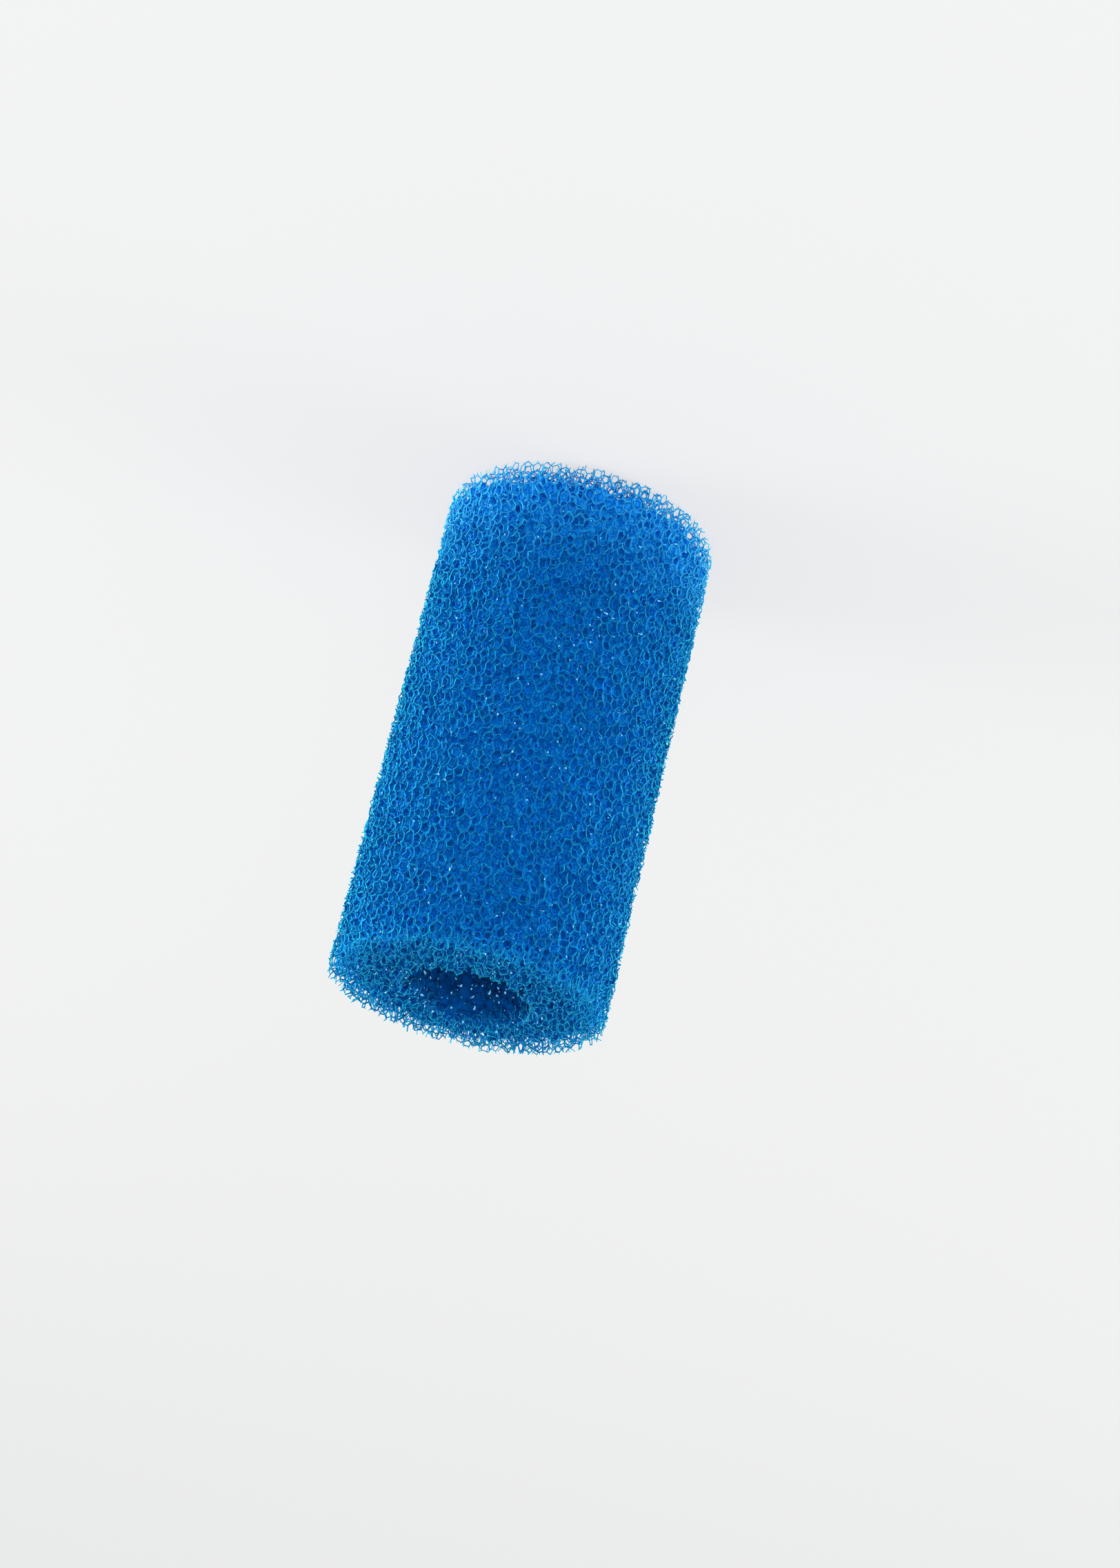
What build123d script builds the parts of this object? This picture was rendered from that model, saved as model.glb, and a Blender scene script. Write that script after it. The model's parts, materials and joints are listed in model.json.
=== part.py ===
"""Cylinder sponge: one piece of open-cell foam, cut as a round bar with a plain hole down its middle.

It stands on one end. The origin is the centre of that end, and +Z runs up the axis of the hole.
The foam is a single solid. Its round side and both ends show the cells that the cutter opened, as
five-sided and six-sided pockets that narrow inward like the cells of a foam. The hole is left
smooth over its whole length, so that the pipe pushed into it has an even wall to grip.
"""

import math
import os

from build123d import *

# Driving dimensions, in millimetres.
OUTER_DIAMETER = 45.0
BORE_DIAMETER = 20.0
LENGTH = 86.0

# The cells that the cutter opened, in millimetres.
CELL_WIDTH = 5.8  # of the widest cell
CELL_DEPTH = 2.2
CELL_PITCH = 7.4  # the usual distance from one cut cell to the next
RIM_WALL = 0.8  # the foam left between a cell and the edge of the face that it is cut in
CUT_MARGIN = 0.3  # how far each cutting tool stands out of the foam

# Neighbouring cells differ: each kind is a number of sides and a share of the widest cell's width.
CELL_KINDS = ((5, 0.85), (6, 1.0), (5, 0.6), (6, 0.75), (5, 0.95))
UNEVENNESS = 0.25  # how far a corner may lie inside the cell's width, as a share of its radius

# Each cell lies a golden angle on from the last, as seeds do, so that they spread evenly on a
# round side and on a ring alike and never line up in rows.
GOLDEN_ANGLE = 180.0 * (3.0 - math.sqrt(5.0))

outer_radius = OUTER_DIAMETER / 2
bore_radius = BORE_DIAMETER / 2
edge_margin = CELL_WIDTH / 2 + RIM_WALL
area_per_cell = CELL_PITCH**2 * math.sqrt(3.0) / 2


def cell_outline(sides, width, height):
    """The corners of an uneven cell's outline, lifted to a height."""
    corners = []
    for corner in range(sides):
        turn = 2 * math.pi * corner / sides
        dip = UNEVENNESS * (1 + math.sin(corner * sides)) / 2
        radius = (1 - dip) * width / 2
        corners.append(Vector(radius * math.cos(turn), radius * math.sin(turn), height))
    return corners


def cell_tool(sides, share):
    """The tool that cuts one cell: its mouth is at z 0, its point at the cell's depth below."""
    width = share * CELL_WIDTH
    bulge = outer_radius - math.sqrt(outer_radius**2 - (width / 2) ** 2)
    height = bulge + CUT_MARGIN
    top = cell_outline(sides, width * (1 + height / CELL_DEPTH), height)
    point = Vector(0, 0, -CELL_DEPTH)
    walls = [
        Face(Wire.make_polygon([top[corner - 1], top[corner], point]))
        for corner in range(sides)
    ]
    lid = Face(Wire.make_polygon(top))
    return Solid(Shell([*walls, lid]))


def side_places():
    """Where the cells of the round side go, in a spiral up the foam, each facing outward."""
    height_for_cells = LENGTH - 2 * edge_margin
    count = int(math.pi * OUTER_DIAMETER * height_for_cells / area_per_cell)
    for index in range(count):
        height = edge_margin + height_for_cells * (index + 0.5) / count
        turn = index * GOLDEN_ANGLE
        yield Rot(0, 0, turn) * Pos(outer_radius, 0, height) * Rot(0, 90, 0) * Rot(0, 0, turn)


def end_places():
    """Where the cells of one end go, on the ring between the hole and the side, facing +Z."""
    inner = bore_radius + edge_margin
    outer = outer_radius - edge_margin
    count = int(math.pi * (outer**2 - inner**2) / area_per_cell)
    for index in range(count):
        radius = math.sqrt(inner**2 + (outer**2 - inner**2) * (index + 0.5) / count)
        yield Rot(0, 0, index * GOLDEN_ANGLE) * Pos(radius, 0, 0)


def sponge_body():
    """The bar of foam with its hole, before any cell is cut."""
    standing = (Align.CENTER, Align.CENTER, Align.MIN)
    bar = Cylinder(outer_radius, LENGTH, align=standing)
    return bar - Cylinder(bore_radius, LENGTH, align=standing)


def cut_cells():
    """Every cutting tool in its place, on the side and on both ends."""
    tools = [cell_tool(sides, share) for sides, share in CELL_KINDS]
    top_places = [Pos(0, 0, LENGTH) * place for place in end_places()]
    bottom_places = [Rot(180, 0, 0) * place for place in end_places()]
    places = [*side_places(), *top_places, *bottom_places]
    return [place * tools[index % len(tools)] for index, place in enumerate(places)]


cells = cut_cells()
sponge = sponge_body() - cells

os.makedirs("parts", exist_ok=True)
export_step(sponge, "parts/sponge.step")
print(f"sponge with {len(cells)} cut cells, {sponge.volume:.0f} cubic millimetres")
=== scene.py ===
# %% [markdown]
# # A cylinder sponge
# The real thing is one piece of blue open-cell foam, cut as a round bar with a plain hole down its
# middle. It slides over a tube. Such foam is no solid with bubbles in it: it is a network of
# struts, like the edges of a heap of soap bubbles, with thin walls in its windows that burst
# wherever the foam is cut or worn. Light and water pass through it. This lesson builds struts and
# walls as real geometry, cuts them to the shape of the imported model, and lights them on a pale
# floor.

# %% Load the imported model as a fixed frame
import json
import math

import bpy
import numpy as np
from mathutils import Matrix, Vector


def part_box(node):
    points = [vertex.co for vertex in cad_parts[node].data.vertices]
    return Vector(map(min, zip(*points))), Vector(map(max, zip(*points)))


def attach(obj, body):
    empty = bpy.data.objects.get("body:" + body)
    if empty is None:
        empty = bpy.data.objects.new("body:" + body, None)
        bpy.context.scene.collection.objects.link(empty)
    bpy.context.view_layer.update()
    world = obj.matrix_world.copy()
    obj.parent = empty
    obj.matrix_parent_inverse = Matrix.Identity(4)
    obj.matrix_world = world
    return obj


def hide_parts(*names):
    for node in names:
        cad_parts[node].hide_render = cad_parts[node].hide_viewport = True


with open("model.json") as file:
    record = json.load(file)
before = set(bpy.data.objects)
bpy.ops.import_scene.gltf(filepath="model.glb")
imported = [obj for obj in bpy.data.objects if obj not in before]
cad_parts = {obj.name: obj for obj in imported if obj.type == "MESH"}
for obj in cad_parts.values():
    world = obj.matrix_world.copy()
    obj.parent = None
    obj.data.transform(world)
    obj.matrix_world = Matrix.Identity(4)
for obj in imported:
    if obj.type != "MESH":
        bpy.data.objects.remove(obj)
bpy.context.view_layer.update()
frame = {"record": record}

# %% [markdown]
# ## The sizes of the sponge
# Nothing is measured twice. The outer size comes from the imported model's own box, and the hole's
# radius from the mount that the record states for it. Everything is in metres.

# %% Read the sizes of the sponge
sponge_low, sponge_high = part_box("sponge")
LENGTH = sponge_high.z - sponge_low.z
OUTER_RADIUS = (sponge_high.x - sponge_low.x) / 2
hole_mount = next(mount for mount in frame["record"]["mounts"] if mount["name"] == "bore")
HOLE_RADIUS = hole_mount["dims"]["r_mm"] / 1000
print(f"length {LENGTH:.4f}, outer radius {OUTER_RADIUS:.4f}, hole radius {HOLE_RADIUS:.4f}")

# %% [markdown]
# ## The bubbles that made the foam
# While the foam rises, its bubbles push each other apart until they fill the space about evenly,
# and no two are quite the same size. The same thing is done here with points: they are scattered,
# and every two that are nearer than the half widths of their bubbles push each other away. One
# block of them is enough for the whole sponge if its opposite sides match, because copies of the
# block then join without a seam. Struts run where three bubbles meet, and joints lie where four
# meet.

# %% Scatter the middles of the bubbles over one repeating block
BLOCK_SIDE = 8  # the block's side, in steps of which each cube holds two bubbles
BUBBLE_SIZE = 0.87  # how far apart two usual bubbles push each other, in steps
SIZE_SPREAD = 0.22  # how much larger or smaller than usual a bubble may be
PACKING_ROUNDS = 40
BUBBLE_SEED = 3


def bubble_middles():
    """Random points in the block, pushed apart until hardly any two are too close, in steps."""
    rng = np.random.default_rng(BUBBLE_SEED)
    middles = rng.uniform(0, BLOCK_SIDE, (2 * BLOCK_SIDE**3, 3))
    sizes = BUBBLE_SIZE * (1 + SIZE_SPREAD * rng.uniform(-1, 1, len(middles)))
    room = (sizes[:, None] + sizes[None]) / 2
    for _ in range(PACKING_ROUNDS):
        way = middles[:, None] - middles[None]
        way -= np.round(way / BLOCK_SIDE) * BLOCK_SIDE
        distance = np.linalg.norm(way, axis=2)
        np.fill_diagonal(distance, np.inf)
        overlap = np.clip(room - distance, 0, None)
        middles += (way * (overlap / distance)[..., None]).sum(1) / 2
    return middles % BLOCK_SIDE


bubbles = bubble_middles()
print(len(bubbles), "bubbles in one block")

# %% [markdown]
# ## Joints between four bubbles
# A joint is the middle of a sphere that goes through four bubbles' middles and holds no fifth.
# Every bubble tries each set of three neighbours with a higher number than its own, so that a
# joint is found once only, and numpy solves the three equations of all sets together. The answer
# keeps each joint's place, and its four bubbles with the copy of the block that each lies in.

# %% Find the joints
NEIGHBOURS = 34  # the nearest bubbles that can share a joint
LARGEST_GAP = 1.0  # the largest radius of a sphere between bubbles that is tried, in steps
FLATTEST = 1e-6  # bubbles that span a smaller volume, in cubic steps, lie in one plane
ROUNDING = 1e-9  # how far inside a sphere the bubbles on it may seem to lie, in square steps


def sphere_middles(points):
    """Middle of the sphere through the origin and each set of three points."""
    a, b, c = points[:, 0], points[:, 1], points[:, 2]
    volume = np.einsum("ij,ij->i", a, np.cross(b, c))
    flat = np.abs(volume) <= FLATTEST
    half = (points**2).sum(2) / 2
    middle = half[:, :1] * np.cross(b, c)
    middle += half[:, 1:2] * np.cross(c, a)
    middle += half[:, 2:] * np.cross(a, b)
    middle[flat] = 2 * LARGEST_GAP  # too far off to be kept
    return middle / np.where(flat, 1, volume)[:, None]


def near_bubbles(bubbles):
    """For each bubble: its nearest others, and the way to each across the block's sides."""
    way = bubbles[None] - bubbles[:, None]
    way -= np.round(way / BLOCK_SIDE) * BLOCK_SIDE
    distance = np.linalg.norm(way, axis=2)
    np.fill_diagonal(distance, np.inf)
    order = np.argsort(distance, axis=1, kind="stable")[:, :NEIGHBOURS]
    return order, np.take_along_axis(way, order[..., None], 1)


def triple_numbers():
    """Every set of three of the neighbours' numbers, each set in rising order."""
    first, second, third = np.meshgrid(*[np.arange(NEIGHBOURS)] * 3, indexing="ij")
    rising = (first < second) & (second < third)
    return np.stack([first[rising], second[rising], third[rising]], 1)


def find_joints(bubbles):
    """Each joint's place, and its four bubbles as rows of number and copy of the block."""
    order, way = near_bubbles(bubbles)
    triples = triple_numbers()
    places, owners = [], []
    for bubble, (others, ways) in enumerate(zip(order, way)):
        sets = triples[(others[triples] > bubble).all(1)]
        middle = sphere_middles(ways[sets])
        reach = (middle**2).sum(1)
        small = reach < LARGEST_GAP**2
        sets, middle, reach = sets[small], middle[small], reach[small]
        empty = ((middle[:, None] - ways[None]) ** 2).sum(2) > reach[:, None] - ROUNDING
        alone = empty.all(1)
        sets, middle = sets[alone], middle[alone]
        copies = np.round((bubbles[bubble] + ways[sets] - bubbles[others[sets]]) / BLOCK_SIDE)
        rows = np.zeros((len(sets), 4, 4), int)
        rows[:, 0, 0] = bubble
        rows[:, 1:, 0] = others[sets]
        rows[:, 1:, 1:] = copies
        places.append(bubbles[bubble] + middle)
        owners.append(rows)
    return np.concatenate(places), np.concatenate(owners)


joints, joint_bubbles = find_joints(bubbles)
print(len(joints), "joints in one block, about", round(len(joints) / len(bubbles), 2), "a bubble")

# %% [markdown]
# ## Struts between two joints
# Two joints that share three bubbles are the two ends of one strut. Leaving out each of a joint's
# four bubbles in turn gives its four struts, so the strut that leaves out bubble number k is
# called the joint's strut k from here on. Sorting the triples brings the two ends of each strut
# together.

# %% Pair the joints into struts
TRIPLE = 12  # how many numbers tell three bubbles: each one's own, and the three of its copy


def find_struts(owners):
    """Both joints of each strut, its number at each of them, and the copy that the last is in."""
    rows = []
    for left_out in range(4):
        three = np.delete(owners, left_out, axis=1)
        order = np.argsort(three[:, :, 0], axis=1)
        three = np.take_along_axis(three, order[..., None], 1)
        base = three[:, 0, 1:].copy()
        three[:, :, 1:] -= base[:, None]
        joint = np.arange(len(three))[:, None]
        number = np.full_like(joint, left_out)
        rows.append(np.concatenate([three.reshape(-1, TRIPLE), joint, number, base], 1))
    rows = np.concatenate(rows)
    rows = rows[np.lexsort(rows[:, :TRIPLE].T[::-1])]
    triple, joint, number = rows[:, :TRIPLE], rows[:, TRIPLE], rows[:, TRIPLE + 1]
    base = rows[:, TRIPLE + 2:]
    first = np.flatnonzero((triple[1:] == triple[:-1]).all(1))
    ends = np.stack([first, first + 1], 1)
    return joint[ends], number[ends], base[first] - base[first + 1]


strut_joints, strut_numbers, strut_copies = find_struts(joint_bubbles)
print(len(strut_joints), "struts in one block")

# %% [markdown]
# ## Settling the network
# Struts pull on their joints while the foam sets, so that they meet at nearly even angles and very
# short ones are rare. Moving each joint part of the way to the middle of its four neighbours, a
# few times over, does the same.

# %% Let the struts pull their joints into place
SETTLING_ROUNDS = 3
SETTLING_SHARE = 0.5


def settle(joints):
    """Joints after each has been pulled towards the middle of its neighbours a few times."""
    settled = joints.copy()
    first, last = strut_joints.T
    for _ in range(SETTLING_ROUNDS):
        span = settled[last] + strut_copies * BLOCK_SIDE - settled[first]
        pull = np.zeros_like(settled)
        np.add.at(pull, first, span)
        np.add.at(pull, last, -span)
        settled += SETTLING_SHARE * pull / 4
    return settled


unsettled = joints
joints = settle(unsettled)
moved = np.linalg.norm(joints - unsettled, axis=1).mean()
print(f"joints moved by {moved:.2f} steps on average")

# %% [markdown]
# ## The block at its real size
# Foam rises while it sets, which leaves its cells taller than they are wide, and this bar was cut
# with its length along that rise. The block is turned by odd angles first, so that its copies
# never meet the cut faces in the same way, and no pattern repeats on the sponge.

# %% Turn, stretch and size the block
CELL_STEP = 2.1e-3  # one step of the block, which is about a cell's mean width
RISE = 1.35  # how much taller than wide a cell is
BLOCK_TURN = (0.41, 0.29, 0.53)  # radians about X, Y and Z

turn = np.array(Matrix.Rotation(BLOCK_TURN[0], 3, "X"))
turn = np.array(Matrix.Rotation(BLOCK_TURN[1], 3, "Y")) @ turn
turn = np.array(Matrix.Rotation(BLOCK_TURN[2], 3, "Z")) @ turn
narrowing = RISE ** (-1 / 3)
to_metres = CELL_STEP * np.diag([narrowing, narrowing, RISE * narrowing]) @ turn

joint_places = joints @ to_metres.T
copy_steps = BLOCK_SIDE * to_metres.T  # the way from one copy of the block to the next, by axis
strut_spans = joint_places[strut_joints[:, 1]] + strut_copies @ copy_steps
strut_spans -= joint_places[strut_joints[:, 0]]
strut_lengths = np.linalg.norm(strut_spans, axis=1)
print(f"struts are {strut_lengths.mean() * 1000:.2f} mm long on average")

# %% [markdown]
# ## The form of a joint and of a strut
# A strut is what is left between three bubbles, so its section is a triangle, and a joint is what
# is left between four, so it is a small four-sided body. Each of the joint's four corners lies
# behind the joint as seen from one of its struts, and the face in front of it is where that strut
# begins. A strut is then three walls between the face of one joint and the face of the other, and
# the network is closed everywhere, with only six triangles for each strut.

# %% Give every joint its four corners
STRUT_WIDTH = 0.27e-3
WIDTH_SPREAD = 0.3  # how much thicker or thinner the struts round one bubble may be
WIDTH_PER_REACH = 1.56  # seen from the side, a strut is so many times as wide as a corner reaches
CORNER_REACH = STRUT_WIDTH / WIDTH_PER_REACH
MEAN_OF_FOUR = 2  # the mean over a joint's four bubbles spreads only half as far as they do


def outward_faces(corners, ways):
    """For each joint and strut: the three corners of its face, in order round the way out."""
    faces = np.zeros((len(corners), 4, 3), int)
    for number in range(4):
        three = np.array([k for k in range(4) if k != number])
        a, b, c = (corners[:, k] for k in three)
        facing = (np.cross(b - a, c - a) * ways[:, number]).sum(1)
        faces[:, number] = np.where(facing[:, None] > 0, three, three[[0, 2, 1]])
    return faces


strut_ways = strut_spans / strut_lengths[:, None]
joint_ways = np.zeros((len(joints), 4, 3))
joint_ways[strut_joints[:, 0], strut_numbers[:, 0]] = strut_ways
joint_ways[strut_joints[:, 1], strut_numbers[:, 1]] = -strut_ways
bubble_thickness = np.random.default_rng(BUBBLE_SEED).uniform(-1, 1, len(bubbles))
thickness = bubble_thickness[joint_bubbles[:, :, 0]].mean(1)
reaches = CORNER_REACH * (1 + MEAN_OF_FOUR * WIDTH_SPREAD * thickness)
joint_corners = -joint_ways * reaches[:, None, None]
joint_faces = outward_faces(joint_corners, joint_ways)


def matched_ends():
    """For each strut: the corners at its first joint, and at its last with the least twist."""
    first, last = strut_joints.T
    near = joint_faces[first, strut_numbers[:, 0]]
    far = joint_faces[last, strut_numbers[:, 1]][:, ::-1]
    near_at = np.take_along_axis(joint_corners[first], near[..., None], 1)
    twists = []
    for shift in range(3):
        rolled = np.roll(far, shift, axis=1)
        far_at = np.take_along_axis(joint_corners[last], rolled[..., None], 1)
        gap = far_at - near_at
        gap -= (gap * strut_ways[:, None]).sum(2, keepdims=True) * strut_ways[:, None]
        twists.append((gap**2).sum((1, 2)))
    best = np.argmin(twists, axis=0)
    rolls = np.stack([np.roll(far, shift, axis=1) for shift in range(3)])
    return near, rolls[best, np.arange(len(best))]


near_corners, far_corners = matched_ends()
print(f"corners of joints reach {reaches.min() * 1000:.2f} to {reaches.max() * 1000:.2f} mm")

# %% [markdown]
# ## How deep the eye sees
# No one sees more than a cell or two into this foam, and struts that nobody sees cost time. The
# network is therefore built as a crust, and a core of the same blue fills the rest. The side of
# the hole is seen only at a slant and needs a thinner crust. At the ends the eye looks in at the
# end and out again through the rim, so there the core falls away in a cone from the hole to the
# side.

# %% Measure how deep a point lies in the foam
SIDE_CRUST = 2.2e-3
HOLE_CRUST = 0.9e-3
END_CRUST = 2.2e-3  # at the hole
END_SLOPE = math.tan(math.radians(20))  # how steeply the core falls away towards the side


def cut_depth(points):
    """How far inside the cut faces of the sponge each point lies. It is negative outside."""
    radius = np.hypot(points[..., 0], points[..., 1])
    across = np.minimum(OUTER_RADIUS - radius, radius - HOLE_RADIUS)
    along = np.minimum(points[..., 2], LENGTH - points[..., 2])
    return np.minimum(across, along)


def in_crust(points):
    """Whether each point lies in the crust, and not in the core."""
    radius = np.hypot(points[..., 0], points[..., 1])
    along = np.minimum(points[..., 2], LENGTH - points[..., 2])
    end_crust = END_CRUST + END_SLOPE * np.clip(radius - HOLE_RADIUS, 0, None)
    by_side = OUTER_RADIUS - radius < SIDE_CRUST
    by_hole = radius - HOLE_RADIUS < HOLE_CRUST
    return by_side | by_hole | (along < end_crust)


fall = (OUTER_RADIUS - HOLE_RADIUS) * END_SLOPE
print(f"at each end the core falls away by {fall * 1000:.1f} mm from the hole to the side")

# %% [markdown]
# ## Worn faces and rims
# The blade stretches the struts near a cut face and bursts the walls between them, and over the
# two outer rims, where the least foam is left to hold them, this goes deepest. One measure tells
# how sound the foam is at a point. The struts take their thickness from it here, and the walls
# burst by it further on. That is what opens dark pores in the round side, and windows over the
# rims that one can see through.

# %% Measure how sound the foam is
SIDE_WORN = 1.4e-3  # the foam is worn down to this depth below the side
END_WORN = 0.8e-3  # and to this depth below the ends
RIM_WIDTH = 12.5e-3  # a rim is worn this far in from the side
RIM_HEIGHT = 5.6e-3  # and this far in from the end
THINNEST = 0.65  # how thick a strut is right at a worn face, as a share of its full thickness


def soundness(points):
    """0 right at a worn face or rim … 1 where struts and walls are as they were made."""
    from_side = OUTER_RADIUS - np.hypot(points[..., 0], points[..., 1])
    from_end = np.minimum(points[..., 2], LENGTH - points[..., 2])
    by_face = np.minimum(from_side / SIDE_WORN, from_end / END_WORN)
    by_rim = from_side / RIM_WIDTH + from_end / RIM_HEIGHT
    return np.clip(np.minimum(by_face, by_rim), 0, 1)


def fullness(points):
    """How thick a strut is at each point, as a share of its full thickness."""
    return THINNEST + (1 - THINNEST) * soundness(points)


below_side = np.array([OUTER_RADIUS - SIDE_WORN / 2, 0, LENGTH / 2])
print(f"halfway down the worn side a strut has {fullness(below_side):.2f} of its full thickness")

# %% [markdown]
# ## Cutting the network to shape
# The cutter goes straight through the struts and leaves short free stubs, which give the foam its
# rough feel. Soft struts bend away from the blade and tear, so each cut strut ends at its own
# depth below the face, and its torn tip is drawn out thin. A strut with next to nothing of it
# inside has nothing to hold it and falls off. Each copy of the block keeps only its struts in the
# crust.

# %% Collect the struts of the crust
RAGGED_DEPTH = 0.3e-3  # the deepest that a strut tears below the cut face
LOOSE_DEPTH = 0.25e-3  # a strut with no end deeper than this falls off
TEAR_SEED = 11
SPARE_COPIES = 2  # how many copies beyond the sponge's corners are tried as well


def copies_needed():
    """Every copy of the block that can reach the sponge, as whole steps along its three axes."""
    reach = np.linalg.norm(copy_steps, axis=1).sum()
    corners = np.array([[x, y, z] for x in (-1, 1) for y in (-1, 1) for z in (0, 1)], float)
    corners *= (OUTER_RADIUS, OUTER_RADIUS, LENGTH)
    in_steps = corners @ np.linalg.inv(copy_steps)
    low = np.floor(in_steps.min(0)).astype(int) - SPARE_COPIES
    high = np.ceil(in_steps.max(0)).astype(int) + SPARE_COPIES
    axes = [np.arange(a, b) for a, b in zip(low, high)]
    steps = np.stack(np.meshgrid(*axes, indexing="ij"), -1).reshape(-1, 3)
    middle = (steps + 0.5) @ copy_steps
    near = np.hypot(middle[:, 0], middle[:, 1]) < OUTER_RADIUS + reach / 2
    near &= (middle[:, 2] > -reach / 2) & (middle[:, 2] < LENGTH + reach / 2)
    return steps[near]


def crust_struts():
    """Rows of copy and strut number for all struts of the crust, and each end's depth."""
    found, depths = [], []
    for copy in copies_needed():
        first = joint_places[strut_joints[:, 0]] + copy @ copy_steps
        last = first + strut_spans
        depth = np.stack([cut_depth(first), cut_depth(last)], 1)
        kept = (depth.max(1) > 0) & in_crust((first + last) / 2)
        strut = np.flatnonzero(kept)
        rows = np.concatenate([np.tile(copy, (len(strut), 1)), strut[:, None]], 1)
        found.append(rows)
        depths.append(depth[kept])
    return np.concatenate(found), np.concatenate(depths)


crust, crust_depths = crust_struts()
held = crust_depths.max(1) > LOOSE_DEPTH
crust, crust_depths = crust[held], crust_depths[held]
tear_depths = np.random.default_rng(TEAR_SEED).uniform(0, RAGGED_DEPTH, len(crust))
cut_count = (crust_depths.min(1) <= 0).sum()
print(len(crust), "struts in the crust, of which the cutter goes through", cut_count)

# %% [markdown]
# ## Making the meshes
# Each strut becomes three long sides between two joints, and each joint is closed wherever no
# strut of the same mesh leaves it, so every mesh is a closed body. A cut strut ends where the line
# along it comes to its own depth: that place is found by halving the line again and again. Arrays
# are filled with numpy and handed to Blender in one go, which is hundreds of times faster than
# adding faces one by one.

# %% Build a closed mesh from some of the struts
BISECTIONS = 12
TIP_SHARE = 0.15  # how wide the torn tip of a stub is, as a share of the strut there
COPY_SHIFT = 64  # added to the copies' steps along each axis, so that none is negative
COPY_RANGE = 2 * COPY_SHIFT  # more than the copies along any axis


def joint_keys(rows, end):
    """A number for the joint at one end of each strut: its copy and its place in the block."""
    strut = rows[:, 3]
    copy = rows[:, :3] + (strut_copies[strut] if end else 0) + COPY_SHIFT
    number = (copy[:, 0] * COPY_RANGE + copy[:, 1]) * COPY_RANGE + copy[:, 2]
    return number * len(joints) + strut_joints[strut, end]


def key_places(keys):
    """The place of each numbered joint, in metres, and its number in the block."""
    joint = keys % len(joints)
    number = keys // len(joints)
    copy = [number // COPY_RANGE**2, number // COPY_RANGE % COPY_RANGE, number % COPY_RANGE]
    return joint_places[joint] + (np.stack(copy, 1) - COPY_SHIFT) @ copy_steps, joint


def cut_ends(start, finish, tear_depth):
    """Where each line from a point inside to a point outside is torn off."""
    low, high = np.zeros(start.shape[:-1]), np.ones(start.shape[:-1])
    for _ in range(BISECTIONS):
        middle = (low + high) / 2
        inside = cut_depth(start + (finish - start) * middle[..., None]) > tear_depth[:, None]
        low = np.where(inside, middle, low)
        high = np.where(inside, high, middle)
    return start + (finish - start) * low[..., None]


def network_mesh(name, rows, depths, tear_depths):
    """A closed mesh of the struts in rows, with a stub where one end of a strut is outside."""
    keys = np.stack([joint_keys(rows, 0), joint_keys(rows, 1)], 1)
    strut = rows[:, 3]
    corners = np.stack([near_corners[strut], far_corners[strut]], 1)
    numbers = strut_numbers[strut].copy()
    outside = depths <= 0
    backward = outside[:, 0]
    keys[backward] = keys[backward, ::-1]
    numbers[backward] = numbers[backward, ::-1]
    corners[backward] = corners[backward][:, ::-1, ::-1]
    is_cut = outside.any(1)

    used = np.unique(np.concatenate([keys[:, 0], keys[~is_cut, 1]]))
    places, joint = key_places(used)
    points = places[:, None] + joint_corners[joint] * fullness(places)[:, None, None]
    points = points.reshape(-1, 3)
    near = np.searchsorted(used, keys[:, 0])
    far = np.searchsorted(used, keys[~is_cut, 1])
    near_ring = near[:, None] * 4 + corners[:, 0]

    far_places, far_joint = key_places(keys[is_cut, 1])
    far_points = far_places[:, None] + joint_corners[far_joint] * THINNEST
    far_points = np.take_along_axis(far_points, corners[is_cut, 1][..., None], 1)
    stubs = cut_ends(points[near_ring[is_cut]], far_points, tear_depths[is_cut])
    tips = stubs.mean(1, keepdims=True)
    stubs = tips + TIP_SHARE * (stubs - tips)
    far_ring = np.zeros_like(near_ring)
    far_ring[~is_cut] = far[:, None] * 4 + corners[~is_cut, 1]
    far_ring[is_cut] = len(points) + np.arange(is_cut.sum() * 3).reshape(-1, 3)
    points = np.concatenate([points, stubs.reshape(-1, 3)])

    walls = []
    for k in range(3):
        after = (k + 1) % 3
        wall = [near_ring[:, k], near_ring[:, after], far_ring[:, after], far_ring[:, k]]
        walls.append(np.stack(wall, 1))
    open_face = np.zeros((len(used), 4), bool)
    open_face[near, numbers[:, 0]] = True
    open_face[far, numbers[~is_cut, 1]] = True
    closed_joint, closed_number = np.nonzero(~open_face)
    lids = closed_joint[:, None] * 4 + joint_faces[joint[closed_joint], closed_number]
    caps = far_ring[is_cut]
    return make_mesh(name, points, np.concatenate(walls), np.concatenate([lids, caps]))


def make_mesh(name, points, quads, triangles):
    """A mesh object from arrays of points, four-sided faces and three-sided faces."""
    mesh = bpy.data.meshes.new(name)
    loops = np.concatenate([quads.ravel(), triangles.ravel()]).astype(np.int32)
    sides = np.concatenate([np.full(len(quads), 4), np.full(len(triangles), 3)]).astype(np.int32)
    mesh.vertices.add(len(points))
    mesh.vertices.foreach_set("co", points.astype(np.float32).ravel())
    mesh.loops.add(len(loops))
    mesh.loops.foreach_set("vertex_index", loops)
    mesh.polygons.add(len(sides))
    mesh.polygons.foreach_set("loop_start", (np.cumsum(sides) - sides).astype(np.int32))
    mesh.polygons.foreach_set("loop_total", sides)
    mesh.update(calc_edges=True)
    piece = bpy.data.objects.new(name, mesh)
    bpy.context.scene.collection.objects.link(piece)
    print(name, "has", 2 * len(quads) + len(triangles), "triangles")
    return piece


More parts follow.
